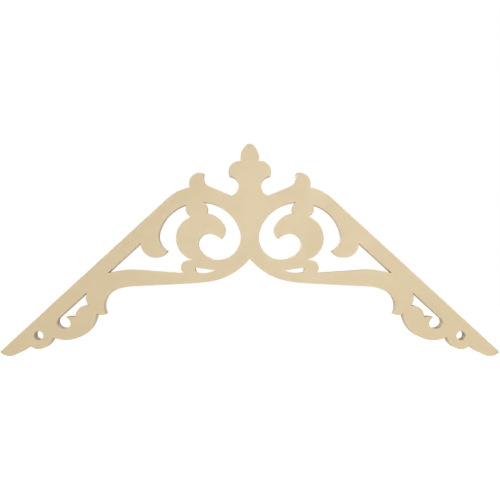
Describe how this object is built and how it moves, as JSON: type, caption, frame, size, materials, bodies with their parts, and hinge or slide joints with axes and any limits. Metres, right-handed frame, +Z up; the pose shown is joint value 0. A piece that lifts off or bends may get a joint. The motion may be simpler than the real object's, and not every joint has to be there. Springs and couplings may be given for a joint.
{
  "type": "gable pediment",
  "caption": "Flat sawn board with volutes, lobed side brackets and a bud finial, fixed to the wall under the rakes of a gable, dormer or porch roof.",
  "frame": {"origin": "on the centre line of the wall face, level with the centres of the two volutes", "axes": "+X across the gable, to the right as seen from the front; +Y out of the wall face, towards the wall; +Z up"},
  "size_m": [1.524, 0.0254, 0.6485],
  "materials": {
    "primed_board": "smooth factory-primed cellular PVC board, tan, matte, with routed edges"
  },
  "bodies": {
    "root": {"pediment_panel": "primed_board"}
  },
  "joints": []
}
